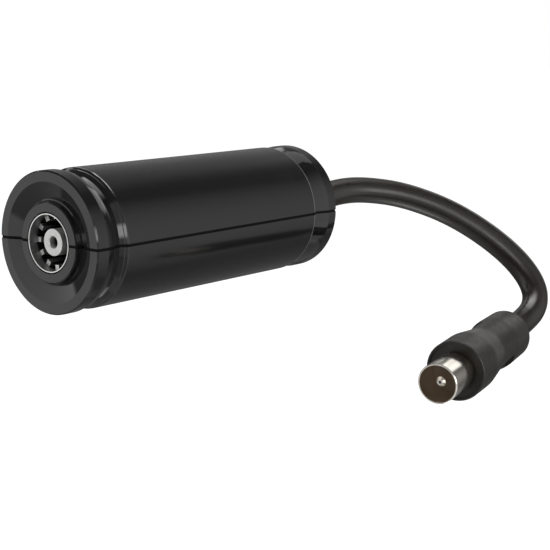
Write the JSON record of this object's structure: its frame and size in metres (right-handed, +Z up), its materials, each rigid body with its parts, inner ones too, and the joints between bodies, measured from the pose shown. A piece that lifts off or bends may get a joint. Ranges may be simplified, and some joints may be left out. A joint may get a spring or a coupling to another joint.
{
  "type": "inline antenna filter",
  "caption": "Round two-shell antenna filter housing with a coaxial socket in one end, and a short coaxial lead from the other end to a coaxial plug.",
  "frame": {"origin": "centre of the antenna socket's mouth, in the plane of the housing's front rim", "axes": "+Y along the housing's axis from the socket to the lead's exit, +Z up and square to the seam between the shells, +X towards the side where the plug lies"},
  "size_m": [0.0717, 0.1354, 0.057],
  "materials": {
    "housing_plastic": "satin gloss",
    "bright_nickel": "polished",
    "insulator": "matte",
    "plug_insulator": "matte",
    "tinned_sheet": "dull tinned",
    "circuit_board": "satin",
    "ferrite": "sintered",
    "copper_wire": "enamelled",
    "capacitor_body": "dipped coating",
    "chip_body": "ceramic",
    "lead_jacket": "satin",
    "braid": "woven",
    "dielectric": "translucent foam",
    "boot_plastic": "fine matte"
  },
  "bodies": {
    "root": {"upper_shell": "housing_plastic", "lower_shell": "housing_plastic", "socket_sleeve": "bright_nickel", "socket_spring_fingers": "bright_nickel", "socket_insulator": "insulator", "socket_contact": "bright_nickel", "shield_tray": "tinned_sheet", "shield_lid": "tinned_sheet", "circuit_board": "circuit_board", "choke_core": "ferrite", "choke_winding": "copper_wire", "input_coil": "copper_wire", "output_coil": "copper_wire", "input_capacitor": "capacitor_body", "shunt_capacitor": "capacitor_body", "output_capacitor": "capacitor_body", "chip_components": "chip_body", "lead_jacket_end": "lead_jacket", "lead_braid": "braid", "lead_dielectric": "dielectric", "lead_core_wire": "copper_wire", "braid_ferrule": "bright_nickel", "lead": "lead_jacket", "plug_boot": "boot_plastic", "plug_sleeve": "bright_nickel", "plug_insulator": "plug_insulator", "plug_pin": "bright_nickel", "plug_crimp": "bright_nickel", "plug_lead_end": "lead_jacket"}
  },
  "joints": []
}
